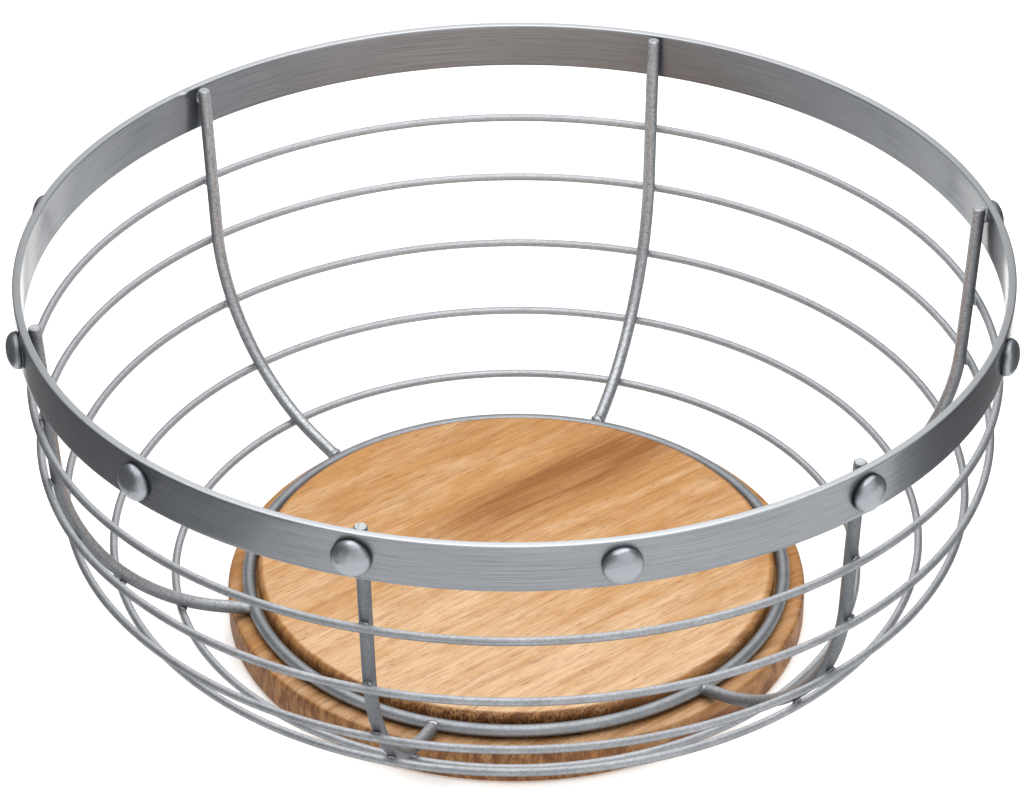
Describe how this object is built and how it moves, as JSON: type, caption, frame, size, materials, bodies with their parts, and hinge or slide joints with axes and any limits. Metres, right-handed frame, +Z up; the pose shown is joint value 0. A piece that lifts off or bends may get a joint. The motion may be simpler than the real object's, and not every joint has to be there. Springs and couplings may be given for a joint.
{
  "type": "fruit basket",
  "caption": "Round open wire fruit basket with a flat riveted rim band, a bowl of ribs and hoops, and a turned wooden base board.",
  "frame": {"origin": "centre of the board's underside, on the surface that the basket stands on", "axes": "+Z up along the axis of the bowl, +X to the right and -Y towards the viewer of the picture"},
  "size_m": [0.3004, 0.3019, 0.1285],
  "materials": {
    "rim_steel": "satin, brushed along the strip, clear lacquered",
    "wire_steel": "satin drawn wire, clear lacquered",
    "rivet_steel": "satin, rubbed domes with darker edges",
    "acacia": "oiled acacia with brown figure",
    "plated_steel": "bright zinc plated"
  },
  "bodies": {
    "root": {"rim_band": "rim_steel", "rivet_01": "rivet_steel", "rivet_02": "rivet_steel", "rivet_03": "rivet_steel", "rivet_04": "rivet_steel", "rivet_05": "rivet_steel", "rivet_06": "rivet_steel", "rivet_07": "rivet_steel", "rivet_08": "rivet_steel", "rivet_09": "rivet_steel", "rivet_10": "rivet_steel", "rivet_11": "rivet_steel", "rivet_12": "rivet_steel", "rib_1": "wire_steel", "rib_2": "wire_steel", "rib_3": "wire_steel", "rib_4": "wire_steel", "rib_5": "wire_steel", "rib_6": "wire_steel", "hoop_1": "wire_steel", "hoop_2": "wire_steel", "hoop_3": "wire_steel", "hoop_4": "wire_steel", "hoop_5": "wire_steel", "base_ring": "wire_steel", "base_board": "acacia", "stud_1": "plated_steel", "stud_2": "plated_steel", "stud_3": "plated_steel", "washer_1": "plated_steel", "washer_2": "plated_steel", "washer_3": "plated_steel", "nut_1": "plated_steel", "nut_2": "plated_steel", "nut_3": "plated_steel"}
  },
  "joints": []
}
